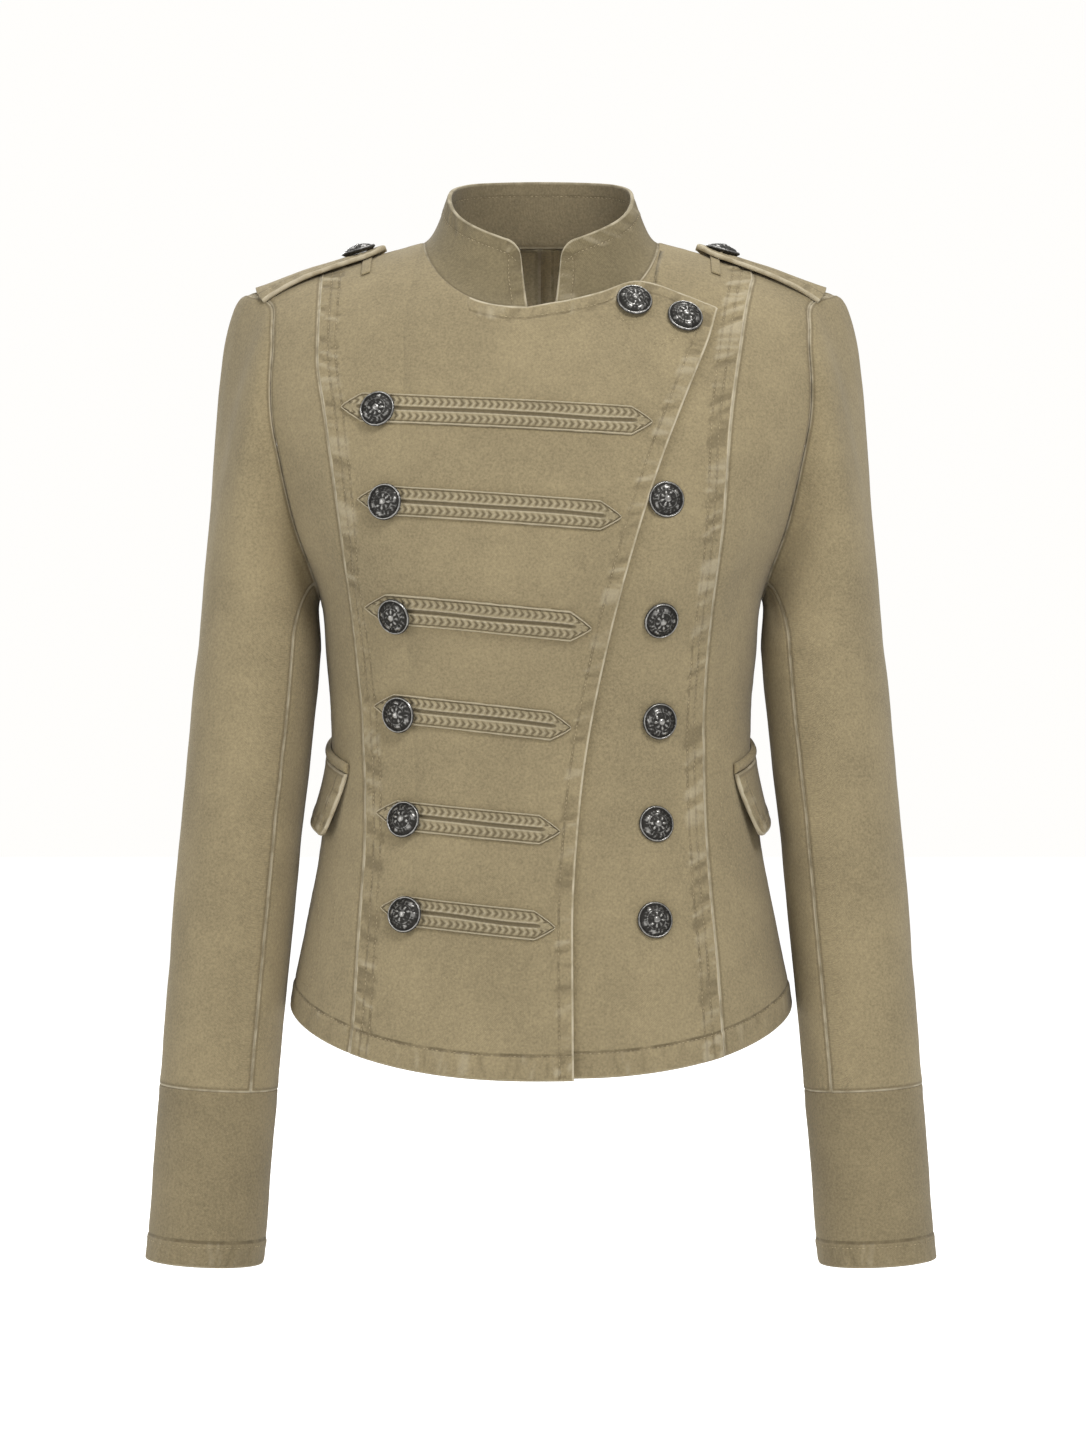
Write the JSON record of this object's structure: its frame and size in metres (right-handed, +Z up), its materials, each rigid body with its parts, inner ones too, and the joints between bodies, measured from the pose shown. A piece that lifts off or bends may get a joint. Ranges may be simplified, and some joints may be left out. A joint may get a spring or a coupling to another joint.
{
  "type": "napoleon jacket",
  "caption": "Short fitted double-breasted twill jacket, hollow as worn: stand collar, slanted crossing front with braid loops, domed buttons, shoulder tabs and pocket flaps.",
  "frame": {"origin": "midway between the two points where the shoulder seams meet the collar, which is where the garment is held up", "axes": "+X to the wearer's left (the right of a person facing the front), +Y to the wearer's back, +Z up along the back"},
  "size_m": [0.5066, 0.241, 0.7025],
  "materials": {
    "twill": "washed matte cotton twill",
    "twill_trim": "matte cotton braid and doubled twill",
    "button_metal": "antique silver, dark in its hollows"
  },
  "bodies": {
    "root": {"front_right": "twill", "front_left": "twill", "side_front_right": "twill", "side_front_left": "twill", "back_right": "twill", "back_left": "twill", "upper_sleeve_right": "twill", "upper_sleeve_left": "twill", "under_sleeve_right": "twill", "under_sleeve_left": "twill", "cuff_right": "twill", "cuff_left": "twill", "collar": "twill", "braid_1": "twill_trim", "braid_2": "twill_trim", "braid_3": "twill_trim", "braid_4": "twill_trim", "braid_5": "twill_trim", "braid_6": "twill_trim", "epaulette_right": "twill_trim", "epaulette_left": "twill_trim", "keeper_right": "twill_trim", "keeper_left": "twill_trim", "welt_right": "twill_trim", "welt_left": "twill_trim", "flap_right": "twill_trim", "flap_left": "twill_trim", "button_right_1": "button_metal", "button_right_2": "button_metal", "button_right_3": "button_metal", "button_right_4": "button_metal", "button_right_5": "button_metal", "button_right_6": "button_metal", "button_left_1": "button_metal", "button_left_2": "button_metal", "button_left_3": "button_metal", "button_left_4": "button_metal", "button_left_5": "button_metal", "button_corner_1": "button_metal", "button_corner_2": "button_metal", "button_shoulder_right": "button_metal", "button_shoulder_left": "button_metal"}
  },
  "joints": []
}
